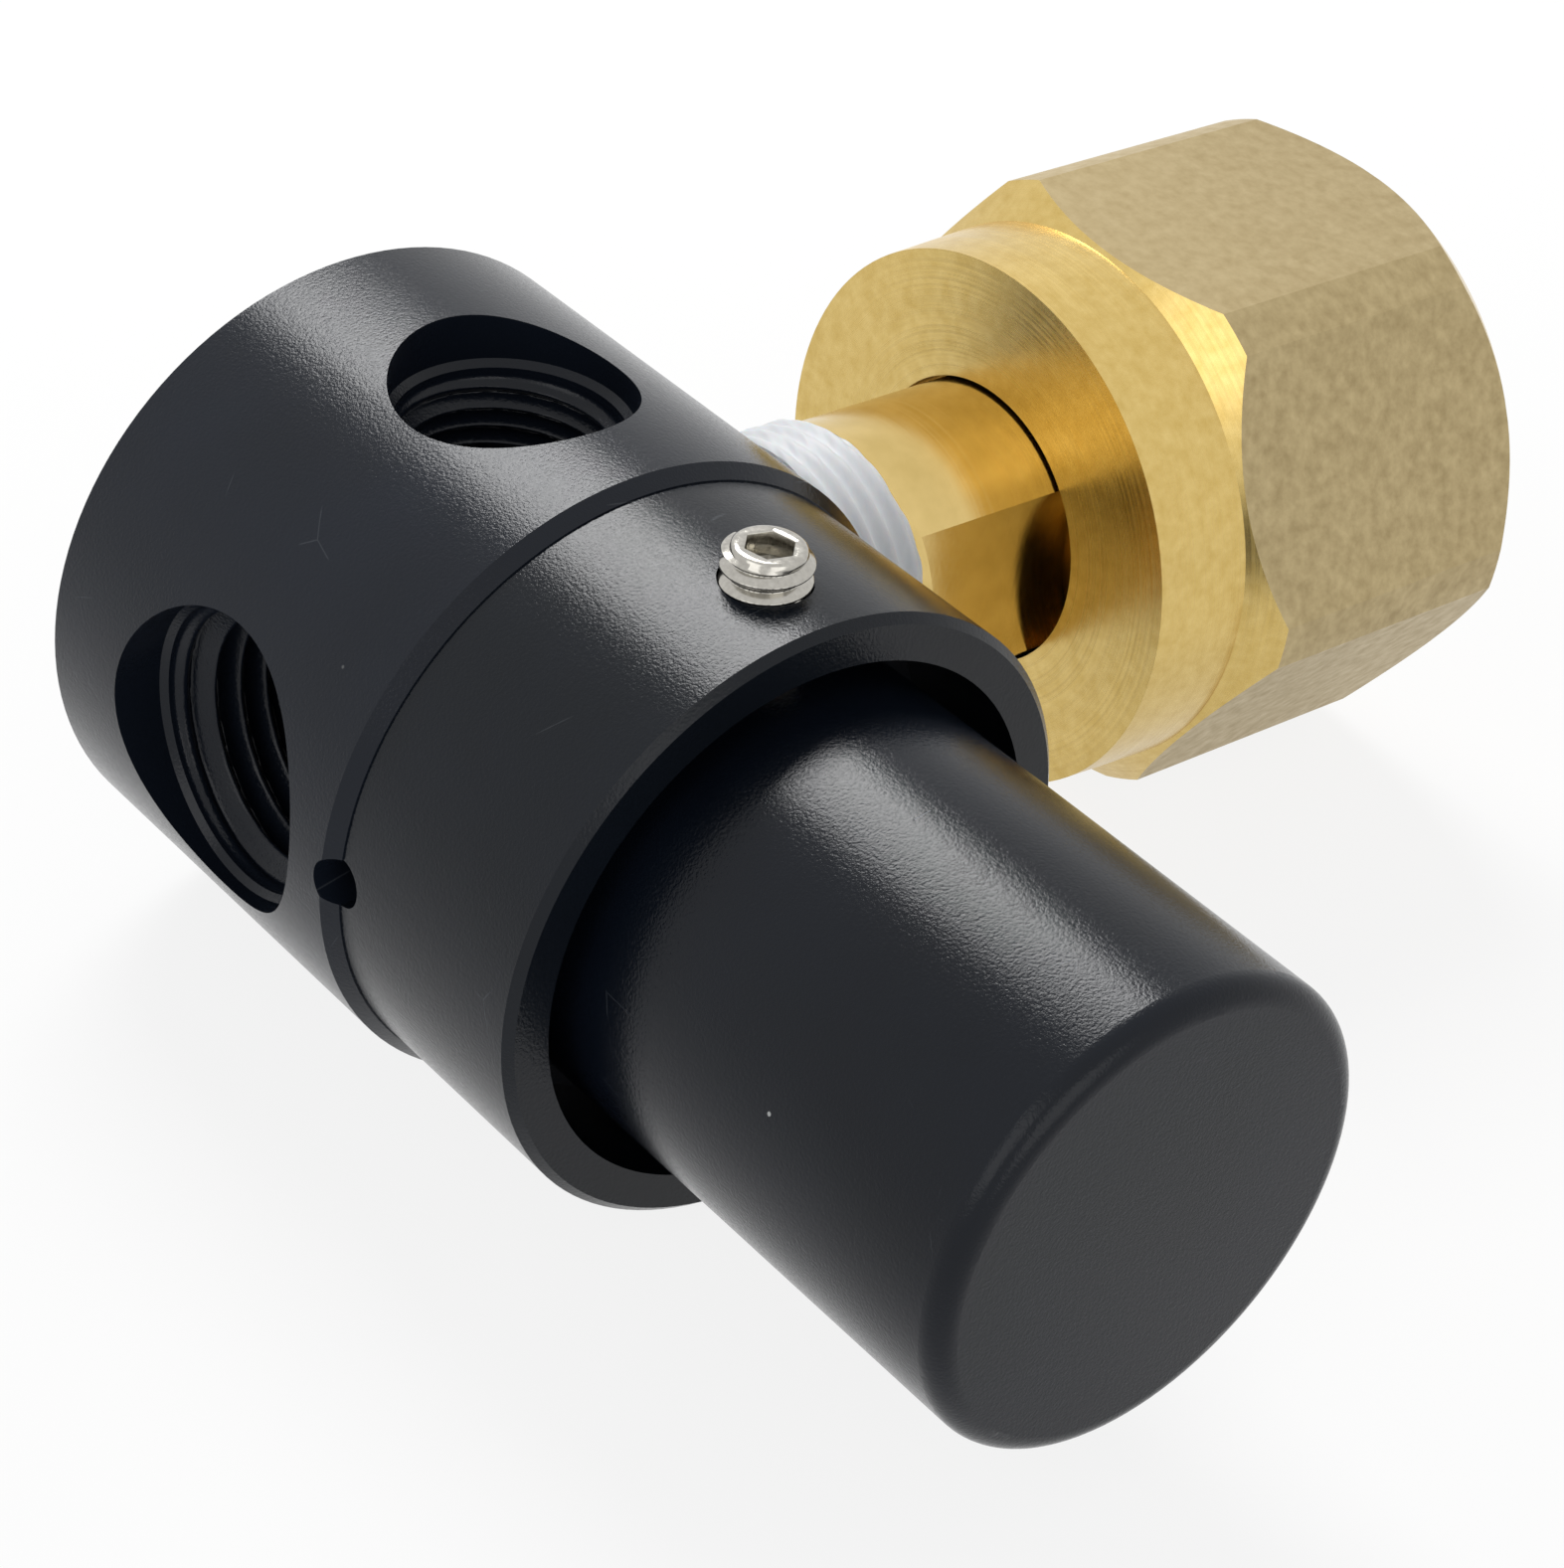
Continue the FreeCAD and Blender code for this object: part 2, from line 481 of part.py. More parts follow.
# --------------------------------------------------------------------------------- the gas inlet
def make_inlet():
    """Nipple with thread, wrench flats and flange; its tape, filter and face washer."""
    nipple = turned("inlet_nipple", [
        ("nipple_start", "nipple_bore"), ("nipple_start", "nipple_thread"),
        ("nipple_shoulder", "nipple_thread"), ("nipple_shoulder", "nipple_radius"),
        ("flange_back", "nipple_radius"), ("flange_back", "flange_radius"), ("flange_front", "flange_radius"),
        ("flange_front", "filter_radius"), ("filter_back - filter_end_gap", "filter_radius"),
        ("filter_back - filter_end_gap", "nipple_bore")])
    for side, name in (("", "near"), ("-", "far")):
        cut_outline(nipple, name + "_flat", [
            ("flat_start", f"{side}flat_distance"), ("flat_end", f"{side}flat_distance"),
            ("flat_end", f"{side}flat_reach"), ("flat_start", f"{side}flat_reach")],
            "2 * flat_reach", "XY_Plane", {"z": "flat_reach"})
    tape = turned("ptfe_tape", [
        ("lip_floor", "large_port_radius - thread_gap"),
        ("lip_floor", "large_lip_radius - thread_gap"),
        ("body_radius + thread_gap", "large_lip_radius - thread_gap"),
        ("body_radius + thread_gap", "tape_radius"), ("nipple_shoulder - tape_edge", "tape_radius"),
        ("nipple_shoulder", "tape_radius - tape_edge"),
        ("nipple_shoulder", "large_port_radius - thread_gap")])
    filter_disc = turned("inlet_filter", [
        ("filter_back", "0"), ("filter_back", "filter_radius - thread_gap"),
        ("flange_front", "filter_radius - thread_gap"), ("flange_front", "0")])
    washer = turned("nipple_washer", [
        ("flange_front", "washer_hole"), ("flange_front", "washer_radius"),
        ("washer_front", "washer_radius"), ("washer_front", "washer_hole")])
    for piece in (nipple, tape, filter_disc, washer):
        lay_along_y(piece)


def make_nut():
    """Cylinder nut: a hexagon bar with turned collar, cones and corners, bored and tapped."""
    nut = new_body("coupling_nut")
    bar_outline = outline(nut, "hexagon_bar_outline", hexagon("nut_flats", "nut_turn"), "YZ_Plane",
                          {"z": "nut_back"})
    bar = nut.newObject("PartDesign::Pad", "hexagon_bar")
    bar.Profile = bar_outline
    bar.setExpression("Length", bound("nut_length"))
    nut.Tip = bar
    beyond = "nut_corner_full + overshoot"
    bore(nut, "outer_turning", [
        ("nut_back - overshoot", "nut_rim"), ("nut_back", "nut_rim"), ("collar_end", "nut_collar"),
        ("near_corner", "nut_corner"), ("far_corner", "nut_corner"), ("nut_face", "nut_end_radius"),
        ("nut_face + overshoot", "nut_end_radius"), ("nut_face + overshoot", beyond),
        ("nut_back - overshoot", beyond)], axis="H_Axis")
    bore(nut, "inner_turning", [
        ("nut_back - overshoot", "0"), ("nut_back - overshoot", "nut_bore"), ("nut_floor", "nut_bore"),
        ("nut_floor", "nut_relief"), ("nut_thread_start", "nut_relief"),
        ("nut_thread_start", "nut_thread_radius"),
        ("nut_face - nut_mouth_chamfer", "nut_thread_radius"),
        ("nut_face", "nut_thread_radius + nut_mouth_chamfer"),
        ("nut_face + overshoot", "nut_thread_radius + nut_mouth_chamfer"), ("nut_face + overshoot", "0")],
        axis="H_Axis")
    lay_along_y(nut)
    return nut


# ------------------------------------------------------------------------- build, check, write
def build():
    """Make every sub-part."""
    fill_sheet()
    make_main_body()
    make_valve()
    make_piston()
    spring("poppet_spring", "valve_bore_end", "poppet_back", "poppet_spring_radius", "poppet_spring_wire",
           "poppet_spring_turns")
    spring("main_spring", "piston_front", "follower_x", "spring_radius", "spring_wire", "spring_turns")
    make_bonnet()
    make_adjuster()
    make_lock()
    make_inlet()
    make_nut()
    doc.recompute()


def sub_parts():
    """The bodies and primitives that are pieces of the regulator."""
    kinds = ("PartDesign::Body", "Part::Torus", "Part::Sphere")
    return [item for item in doc.Objects if item.TypeId in kinds]


def check():
    """Stop if any object failed to compute or any piece has no sound solid."""
    for item in doc.Objects:
        if "Invalid" in item.State or "Error" in item.State:
            raise RuntimeError(f"{item.Name} failed: {item.State}")
    for piece in sub_parts():
        if piece.Shape.isNull() or not piece.Shape.isValid() or not piece.Shape.Solids:
            raise RuntimeError(f"{piece.Label} has no sound solid")


def write():
    """Write one STEP file per sub-part."""
    os.makedirs("parts", exist_ok=True)
    for piece in sub_parts():
        piece.Shape.exportStep(f"parts/{piece.Label}.step")
        print(f"{piece.Label:18s} {len(piece.Shape.Solids)} solid  {piece.Shape.Volume:9.1f} mm3")


build()
check()
write()
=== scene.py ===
# %% [markdown]
# # An air pressure regulator
#
# A small piston regulator for a gas cylinder: a black anodised body and bonnet, a black adjusting
# knob, a brass nipple wound with white sealing tape and a big brass nut. The measured model gives
# every shape and place. This lesson gives it threads, tape, a bright lock screw and its finishes.

# %% Read the frame
import json
import math
import bpy
import numpy as np
from mathutils import Matrix, Vector


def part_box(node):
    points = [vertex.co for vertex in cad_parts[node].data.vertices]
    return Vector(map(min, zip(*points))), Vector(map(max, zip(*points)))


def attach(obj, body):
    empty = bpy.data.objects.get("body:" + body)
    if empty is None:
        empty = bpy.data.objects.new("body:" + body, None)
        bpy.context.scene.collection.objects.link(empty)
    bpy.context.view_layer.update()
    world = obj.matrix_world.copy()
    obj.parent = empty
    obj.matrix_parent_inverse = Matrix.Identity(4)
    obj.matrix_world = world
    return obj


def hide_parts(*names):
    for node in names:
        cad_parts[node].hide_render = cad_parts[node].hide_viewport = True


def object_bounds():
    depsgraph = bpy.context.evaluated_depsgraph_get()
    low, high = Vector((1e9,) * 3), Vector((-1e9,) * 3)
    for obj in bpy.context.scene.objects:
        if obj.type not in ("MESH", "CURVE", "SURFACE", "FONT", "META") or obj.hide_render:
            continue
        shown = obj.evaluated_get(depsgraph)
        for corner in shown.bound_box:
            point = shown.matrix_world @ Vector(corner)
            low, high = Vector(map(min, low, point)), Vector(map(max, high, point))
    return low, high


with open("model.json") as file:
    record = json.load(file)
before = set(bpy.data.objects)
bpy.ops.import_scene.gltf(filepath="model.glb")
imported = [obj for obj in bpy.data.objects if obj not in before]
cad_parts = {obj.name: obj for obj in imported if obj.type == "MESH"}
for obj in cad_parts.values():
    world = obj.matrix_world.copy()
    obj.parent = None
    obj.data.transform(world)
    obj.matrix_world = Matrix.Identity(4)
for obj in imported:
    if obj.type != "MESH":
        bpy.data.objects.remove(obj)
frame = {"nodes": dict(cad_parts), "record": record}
cad_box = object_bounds()
MM = 0.001
INCH = 25.4 * MM

# %% [markdown]
# ## The places that the new pieces need
#
# Ports and threads sit on mounts, so their axes and bores come from the record. The boxes of the
# nodes give the rest. Nothing is measured twice.

# %% Axes, radii and ends
mounts = {mount["name"]: mount for mount in frame["record"]["mounts"]}
nut_low, nut_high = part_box("coupling_nut")
tape_low, tape_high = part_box("ptfe_tape")
screw_low, screw_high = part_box("lock_screw")
body_low, body_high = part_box("main_body")
NUT_AXIS_X = (tape_low.x + tape_high.x) / 2
BODY_RADIUS = body_high.y


def bore_of(name):
    """The radius of a mount's bore in metres."""
    return mounts[name]["dims"]["r_mm"] * MM


for mount_name in mounts:
    print(mount_name, mounts[mount_name]["pos_m"], mounts[mount_name]["dims"])
print("nut axis at x =", round(NUT_AXIS_X / MM, 2), "mm, body radius", round(BODY_RADIUS / MM, 3), "mm")

# %% [markdown]
# ## Rings into surfaces
#
# Every new piece here was made on a lathe, cut with a tap or wound by hand, so each is a row of
# rings round an axis. Writing the rings as one array and joining neighbours gives a clean grid of
# quads, and the sign of its volume says whether it is inside out.

# %% Join rings into one closed mesh


def joined_rings(name, rings, closed, sharp):
    """Mesh from an array (rings, points, 3): quads between neighbours; the ends are capped, or the
    last ring meets the first where closed is true. Volume is the sum of p0 . (p1 x p2) / 6, and
    a negative one turns every face round. Edges over `sharp` degrees stay crisp."""
    count, around = rings.shape[:2]
    ring = np.arange(count if closed else count - 1)[:, None]
    point = np.arange(around)[None, :]
    after = (ring + 1) % count
    beside = (point + 1) % around
    quads = np.stack([ring * around + point, ring * around + beside,
                      after * around + beside, after * around + point], -1).reshape(-1, 4)
    places = rings.reshape(-1, 3)
    corners = places[quads]
    volume = sum(np.einsum("ij,ij->i", corners[:, 0], np.cross(corners[:, k], corners[:, k + 1])).sum()
                 for k in (1, 2))
    faces = quads.tolist()
    if not closed:
        faces += [list(range(around))[::-1], list(range((count - 1) * around, count * around))]
    if volume < 0:
        faces = [face[::-1] for face in faces]
    mesh = bpy.data.meshes.new(name)
    mesh.from_pydata(places.tolist(), [], faces)
    mesh.shade_smooth()
    mesh.set_sharp_from_angle(angle=math.radians(sharp))
    piece = bpy.data.objects.new(name, mesh)
    bpy.context.scene.collection.objects.link(piece)
    print(name, len(faces), "faces,", round(abs(volume) / 6 / MM ** 3, 1), "mm3")
    return piece


# %% Turn rings onto an axis
FULL_TURN = 2 * np.pi


def about_axis(radius, along, angle, base, axis):
    """Place rings on an axis: point = base + along * axis + radius * (cos side + sin up)."""
    axis = np.array(axis, float)
    side = np.array([axis[1], axis[2], axis[0]])
    up = np.cross(axis, side)
    turn = np.cos(angle)[..., None] * side + np.sin(angle)[..., None] * up
    return np.array(base) + along[..., None] * axis + radius[..., None] * turn


def angles(count):
    """One row of evenly spaced angles: k / count of a full turn."""
    return np.linspace(0, FULL_TURN, count, endpoint=False)[None, :]


def ease(share):
    """Smooth step: 3 s^2 - 2 s^3 with s held between 0 and 1."""
    share = np.clip(share, 0, 1)
    return share * share * (3 - 2 * share)


# %% [markdown]
# ## Threads in the ports and the nut
#
# The measured model has plain bores at the threads' outer radius. A tap leaves a 60 degree ridge
# that climbs one pitch a turn. It could be a swept helix joined to the bore; a sleeve whose radius
# depends on the angle and the depth gives the same ridge as one grid with no joins.

# %% A tapped sleeve
RIDGE_SHARE = 0.74           # height of a ridge, as a share of its pitch
ROOT_FLAT = 0.06             # share of half a pitch that stays at the bore
FLANK_SHARE = 0.86           # share taken by the slope; the flat crest has the rest
STEPS_PER_TURN = 20
FEWEST_STEPS = 30
LEAD_IN, RUN_OUT = 5, 8      # the ridge grows over a fifth of the depth and fades over an eighth
SKIN_IN, SKIN_OUT = 0.01 * MM, 0.02 * MM     # how far off the bore the sleeve's two walls lie


def tapped_sleeve(name, base, axis, bore, start, end, pitch):
    """Ridges inside a bore: radius = bore - height * ridge(along / pitch - angle / full turn), where
    ridge is a triangle wave cut flat at top and bottom and height fades over the end turns."""
    height = RIDGE_SHARE * pitch
    steps = max(int(abs(end - start) / pitch * STEPS_PER_TURN), FEWEST_STEPS)
    along = np.linspace(start, end, steps)[:, None]
    angle = angles(120)
    wave = np.abs(((along / pitch - angle / FULL_TURN) % 1) * 2 - 1)
    ridge = np.clip((wave - ROOT_FLAT) / FLANK_SHARE, 0, 1)
    depth_share = (along - start) / (end - start)
    fade = ease(depth_share * LEAD_IN) * ease((1 - depth_share) * RUN_OUT)
    inner = bore - SKIN_IN - height * ridge * fade
    outer = np.full((2, angle.size), bore + SKIN_OUT)
    radius = np.vstack([inner, outer])
    depth = np.vstack([along + 0 * angle, [[end] * angle.size, [start] * angle.size]])
    turns = np.broadcast_to(angle, radius.shape)
    return joined_rings(name, about_axis(radius, depth, turns, base, axis), closed=True, sharp=60)


# %% Threads in both outlets
OUTLET_LIP = 2.9 * MM            # the thread starts this far inside the body's round skin
OUTLET_FLOOR = 7.05 * MM         # and ends this far from the body's axis
LARGE_PIPE_PITCH = INCH / 18     # quarter-inch pipe thread
SMALL_PIPE_PITCH = INCH / 27     # eighth-inch pipe thread


def outlet_thread(name, mount_name, pitch):
    """A tapped sleeve on an outlet's own axis, from its lip down to its floor."""
    mount = mounts[mount_name]
    piece = tapped_sleeve(name, (mount["pos_m"][0], 0, 0), mount["axis"], bore_of(mount_name),
                          BODY_RADIUS - OUTLET_LIP, OUTLET_FLOOR, pitch)
    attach(piece, "regulator")
    return piece


left_thread = outlet_thread("left_outlet_thread", "left_outlet", LARGE_PIPE_PITCH)
upper_thread = outlet_thread("upper_outlet_thread", "upper_outlet", SMALL_PIPE_PITCH)

# %% Thread in the nut
NUT_PITCH = INCH / 14            # gas cylinder thread
NUT_CHAMFER = 0.7 * MM           # the thread starts inside the nut's chamfered mouth
NUT_THREAD_DEPTH = 13.0 * MM     # and ends this far from the open face

nut_thread = tapped_sleeve("coupling_nut_thread", (NUT_AXIS_X, 0, 0), (0, 1, 0),
                           bore_of("cylinder_connection"),
                           nut_high.y - NUT_CHAMFER, nut_high.y - NUT_THREAD_DEPTH, NUT_PITCH)
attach(nut_thread, "nut")

# %% [markdown]
# ## Sealing tape
#
# Thin white tape is wound several times over the nipple's thread. Each wrap overlaps the one
# before, so the edge shows as a low spiral ridge, and the free edge at the shoulder is pulled
# a little ragged. Cloth simulation would give loose folds, but the tape is stretched tight, so a
# turned surface with a spiral step and small wrinkles is closer.

# %% Sizes of the tape
TAPE_SEED = 7
TAPE_TUCK = 1.2 * MM             # how far the tape reaches into the port
WRAP_PITCH = 1.05 * MM           # from one wrap's edge to the next
WRAP_STEP = 0.24 * MM            # how high an edge stands
TAPE_SLACK = 0.30 * MM           # the thinnest wrap lies this far under the plain model's wall
TAPE_IN_PORT = 7.08 * MM         # the largest radius that the tape has inside the port
PORT_MOUTH = 0.1 * MM            # the tape is squeezed up to this far inside the body's skin
TAPE_INSIDE = 6.83 * MM          # its inner radius, on the nipple's thread
END_ROUND = 0.2 * MM             # the free end bends down by this
RAGGED_EDGE = [(3, 0.10 * MM), (7, 0.05 * MM), (19, 0.03 * MM)]        # waves round, height
WRINKLES = [(11, 0.018 * MM), (23, 0.014 * MM), (41, 0.010 * MM)]
WRINKLE_TWIST = 0.35             # radians that the wrinkles turn in each millimetre
rng = np.random.default_rng(TAPE_SEED)


def ripple(angle, waves):
    """Sum of sines round the axis, each with its own count and height and a random start."""
    starts = rng.uniform(0, 6.3, len(waves))
    return sum(size * np.sin(count * angle + start) for (count, size), start in zip(waves, starts))


# %% The wound tape


def wound_tape():
    """Radius = wall + spiral step + wrinkles; the end ring's place along the axis ripples. The step
    rises slowly over 0.7 of a wrap and drops over the last quarter; the outer 3 in 100 round off."""
    wall = (tape_high.x - tape_low.x) / 2
    start = BODY_RADIUS - TAPE_TUCK
    end = tape_high.y
    angle = angles(240)
    share = np.linspace(0, 1, 90)[:, None]
    along = start + (end - start) * share + ripple(angle, RAGGED_EDGE) * ease((share - 0.6) / 0.4)
    phase = (along / WRAP_PITCH - angle / FULL_TURN) % 1
    step = WRAP_STEP * (ease(phase / 0.7) - ease((phase - 0.75) / 0.25))
    wrinkle = ripple(angle + along / MM * WRINKLE_TWIST, WRINKLES)
    outer = wall - TAPE_SLACK + step + wrinkle
    squeezed = np.where(along < BODY_RADIUS - PORT_MOUTH, np.minimum(outer, TAPE_IN_PORT), outer)
    rounded = squeezed - END_ROUND * ease((share - 0.97) / 0.03)
    radius = np.vstack([rounded, np.full((2, angle.size), TAPE_INSIDE)])
    depth = np.vstack([along, along[-1:], along[:1]])
    turns = np.broadcast_to(angle, radius.shape)
    return joined_rings("sealing_tape", about_axis(radius, depth, turns, (NUT_AXIS_X, 0, 0), (0, 1, 0)),
                        closed=True, sharp=50)


sealing_tape = wound_tape()
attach(sealing_tape, "regulator")
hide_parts("ptfe_tape")

# %% [markdown]
# ## Lock screw
#
# A stainless 8-32 grub screw stands a little proud of the bonnet: rolled threads, a chamfered top
# and a hexagon socket. The same rings make it in one piece, because a ring may be round outside
# and six-sided in the socket.

# %% Sizes of the grub screw
GRUB_PITCH = INCH / 32
GRUB_THREAD_DEPTH = 0.4 * MM
GRUB_CREST_FLAT, GRUB_FLANK = 0.1, 0.8       # shares of half a pitch; the flat root has the rest
TIP_FLAT = 0.9 * MM              # radius of the flat tip
TIP_CHAMFER = 0.45 * MM
SOCKET_HALF_FLATS = 1.0 * MM
SOCKET_TURN = 0.26               # radians that the socket is turned about its axis
THREAD_FROM_TIP = 0.25 * MM
THREAD_FROM_TOP = 0.42 * MM
GRUB_LIP = [(0.34, 0.30), (0.38, 0.10), (0.46, 0.03), (0.56, 0.0)]     # mm in from the side, mm down
SOCKET_WALL = [(1.08, 0.0), (1.03, 0.02), (1.0, 0.08), (1.0, 1.2), (0.5, 1.35)]    # share, mm down

# %% The grub screw


def grub_screw():
    """Rings up the outside with a spiral ridge, over the top, down the hexagon and to its floor.
    A hexagon's radius is half its flats / cos(angle to the middle of the nearest side)."""
    centre = (screw_low + screw_high) / 2
    bottom, top = screw_low.z, screw_high.z
    major = (screw_high.x - screw_low.x) / 2
    angle = angles(144)
    even = np.ones((1, angle.size))
    hexagon = SOCKET_HALF_FLATS / np.cos((angle + SOCKET_TURN) % (np.pi / 3) - np.pi / 6)
    side = np.linspace(bottom + THREAD_FROM_TIP, top - THREAD_FROM_TOP, 110)[:, None]
    wave = np.abs(((side / GRUB_PITCH - angle / FULL_TURN) % 1) * 2 - 1)
    flank = major - GRUB_THREAD_DEPTH * np.clip((wave - GRUB_CREST_FLAT) / GRUB_FLANK, 0, 1)
    tip = [even * TIP_FLAT, even * (major - TIP_CHAMFER)]
    lip = [even * (major - inset * MM) for inset, drop in GRUB_LIP]
    socket = [hexagon * share for share, drop in SOCKET_WALL]
    drops = [drop * MM for size, drop in GRUB_LIP + SOCKET_WALL]
    radius = np.vstack(tip + [flank] + lip + socket)
    height = np.concatenate([[bottom, bottom], side[:, 0], top - np.array(drops)])[:, None] * even
    turns = np.broadcast_to(angle, radius.shape)
    return joined_rings("grub_screw", about_axis(radius, height, turns, (centre.x, 0, 0), (0, 0, 1)),
                        closed=False, sharp=40)


grub = grub_screw()
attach(grub, "screw")
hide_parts("lock_screw")

# %% [markdown]
# ## Finishes
#
# A finish here is always two things: the metal or plastic itself, and how its surface was made.
# One function turns a colour as it is written into the linear light that the renderer works in,
# and one adds a node with its settings and links. The Mix node has several sockets with one name,
# so they go by their numbers, which get names here.

# %% Helpers for node finishes
NOISE, CELLS = "ShaderNodeTexNoise", "ShaderNodeTexVoronoi"
RANGE, MIX = "ShaderNodeMapRange", "ShaderNodeMix"
MATHS, VECTORS, BUMP = "ShaderNodeMath", "ShaderNodeVectorMath", "ShaderNodeBump"
SPLIT, MAPPING = "ShaderNodeSeparateXYZ", "ShaderNodeMapping"
SHARE = 0
NUMBER_A, NUMBER_B, MIXED_NUMBER = 2, 3, 0
COLOUR_A, COLOUR_B, MIXED_COLOUR = 6, 7, 2


def linear(hex_colour):
    """Linear light from an sRGB hex: c / 12.92 below 0.04045, else ((c + 0.055) / 1.055) ^ 2.4."""
    values = [int(hex_colour[k:k + 2], 16) / 255 for k in (1, 3, 5)]
    return [v / 12.92 if v <= 0.04045 else ((v + 0.055) / 1.055) ** 2.4 for v in values] + [1.0]


def plug(tree, node, inputs):
    """Link each input of a node to the socket given for it, or set it to the plain value given."""
    for key, value in inputs.items():
        if isinstance(value, bpy.types.NodeSocket):
            tree.links.new(value, node.inputs[key])
        else:
            node.inputs[key].default_value = value


def add(tree, kind, inputs, give=0, **settings):
    """Add one node with its settings and links, and hand back the output that is asked for."""
    made = tree.nodes.new(kind)
    for name, value in settings.items():
        setattr(made, name, value)
    plug(tree, made, inputs)
    return made.outputs[give]


def finish_for(name):
    """A new material, its node tree, its shader, and its object coordinates in metres."""
    material = bpy.data.materials.new(name)
    material.use_nodes = True
    tree = material.node_tree
    place = add(tree, "ShaderNodeTexCoord", {}, "Object")
    return material, tree, tree.nodes["Principled BSDF"], place


print("white is", linear("#ffffff"), "and middle grey is", round(linear("#808080")[0], 3))

# %% [markdown]
# ### Black hard-anodised aluminium
#
# The body, bonnet and knob were turned, lightly blasted and dyed black. The dye gives a cool
# near-black; the sealed oxide gives a soft, slightly grainy gloss. The grain breaks up the
# highlights, faint turning rings run round the axis, and a few specks of dust and light scratches
# sit on top. Each is a pattern of its own, so that each can be changed alone.

# %% Dust and scratches
DUST_SPACING = 3.4 * MM          # one cell, of which one in four has a speck
DUST_EDGE = (0.036, 0.026)       # a speck's rim, as a share of a cell: about 0.1 mm
SCRATCH_SPACING = 4.5 * MM       # between strokes
SCRATCH_EDGE = (0.006, 0.002)    # a stroke's rim, as a share of that: about 0.02 mm
SCRATCH_PATCH = 4 * MM           # size of the places that have been rubbed


def dust_specks(tree, place):
    """Dust = inside the rim of a cell's middle * the cell's own random number over 0.74."""
    cell = add(tree, CELLS, {"Vector": place, "Scale": 1 / DUST_SPACING, "Randomness": 1.0}, "Color")
    distance = cell.node.outputs["Distance"]
    near = add(tree, RANGE, {"Value": distance, "From Min": DUST_EDGE[0], "From Max": DUST_EDGE[1]})
    chance = add(tree, "ShaderNodeSeparateColor", {"Color": cell})
    rare = add(tree, RANGE, {"Value": chance, "From Min": 0.74, "From Max": 0.75})
    return add(tree, MATHS, {0: near, 1: rare}, operation="MULTIPLY")


def light_scratches(tree, place):
    """Scratch = on the border between two long cells * inside a rubbed place."""
    slant = add(tree, MAPPING, {"Vector": place, "Rotation": (0.5, 0.9, 0.4), "Scale": (1.0, 0.10, 1.0)})
    border = add(tree, CELLS, {"Vector": slant, "Scale": 1 / SCRATCH_SPACING}, "Distance",
                 feature="DISTANCE_TO_EDGE")
    stroke = add(tree, RANGE, {"Value": border, "From Min": SCRATCH_EDGE[0], "From Max": SCRATCH_EDGE[1]})
    cloud = add(tree, NOISE, {"Vector": place, "Scale": 1 / SCRATCH_PATCH, "Detail": 1.0}, "Fac")
    rubbed = add(tree, RANGE, {"Value": cloud, "From Min": 0.66, "From Max": 0.70})
    return add(tree, MATHS, {0: stroke, 1: rubbed}, operation="MULTIPLY")


# %% Anodised finish
BLAST_GRAIN = 0.15 * MM          # the real grit mark is finer, and is drawn as coarse as it shows
DYE_CLOUD = 9 * MM               # slow drift in the depth of the dye
TURNING_FEED = 0.22 * MM         # the lathe tool's step for each turn
ALONG_AXIS = (1.0, 0.02, 0.02)   # stretches the pattern round the body, whose axis is X
ANODISED_GLOSS = 0.15
SCRATCH_STRENGTH, SCRATCH_GREY = 0.10, "#8f959b"
DUST_STRENGTH, DUST_GREY = 0.75, "#c9cccb"


def anodised(name, deep, pale):
    """Colour = dye, then scratches, then dust; gloss follows the grain; bump = grain + rings."""
    material, tree, shader, place = finish_for(name)
    grain = add(tree, NOISE, {"Vector": place, "Scale": 1 / BLAST_GRAIN, "Detail": 2.0, "Roughness": 0.6},
                "Fac")
    cloud = add(tree, NOISE, {"Vector": place, "Scale": 1 / DYE_CLOUD, "Detail": 2.0}, "Fac")
    axial = add(tree, MAPPING, {"Vector": place, "Scale": ALONG_AXIS})
    rings = add(tree, NOISE, {"Vector": axial, "Scale": 1 / TURNING_FEED, "Detail": 2.0}, "Fac")
    colour = add(tree, MIX, {SHARE: cloud, COLOUR_A: linear(deep), COLOUR_B: linear(pale)},
                 MIXED_COLOUR, data_type="RGBA")
    for mark, strength, grey in ((light_scratches(tree, place), SCRATCH_STRENGTH, SCRATCH_GREY),
                                 (dust_specks(tree, place), DUST_STRENGTH, DUST_GREY)):
        share = add(tree, MATHS, {0: mark, 1: strength}, operation="MULTIPLY")
        colour = add(tree, MIX, {SHARE: share, COLOUR_A: colour, COLOUR_B: linear(grey)},
                     MIXED_COLOUR, data_type="RGBA")
    gloss = add(tree, RANGE, {"Value": grain, "From Min": 0.3, "From Max": 0.7,
                              "To Min": ANODISED_GLOSS - 0.03, "To Max": ANODISED_GLOSS + 0.10})
    fine = add(tree, BUMP, {"Strength": 0.9, "Distance": 0.02 * MM, "Height": grain})
    turned = add(tree, BUMP, {"Strength": 0.3, "Distance": 0.004 * MM, "Height": rings, "Normal": fine})
    plug(tree, shader, {"Base Color": colour, "Roughness": gloss, "Normal": turned,
                        "Specular IOR Level": 0.21})
    print(name, len(tree.nodes), "nodes")
    return material


body_finish = anodised("black_anodised_body", "#10141b", "#1a202b")
bonnet_finish = anodised("black_anodised_bonnet", "#0c1015", "#131922")
knob_finish = anodised("black_anodised_knob", "#080c13", "#111721")

# %% [markdown]
# ### Brass
#
# Fresh-turned brass is bright yellow and shows rings round the axis, which stretch the highlights
# across them. The rings are noise that knows only how far a place is from the axis and along it,
# so every ring closes on itself. The same distance gives the tangent that the stretched gloss
# needs.

# %% Distance, place along and tangent about the nut's axis


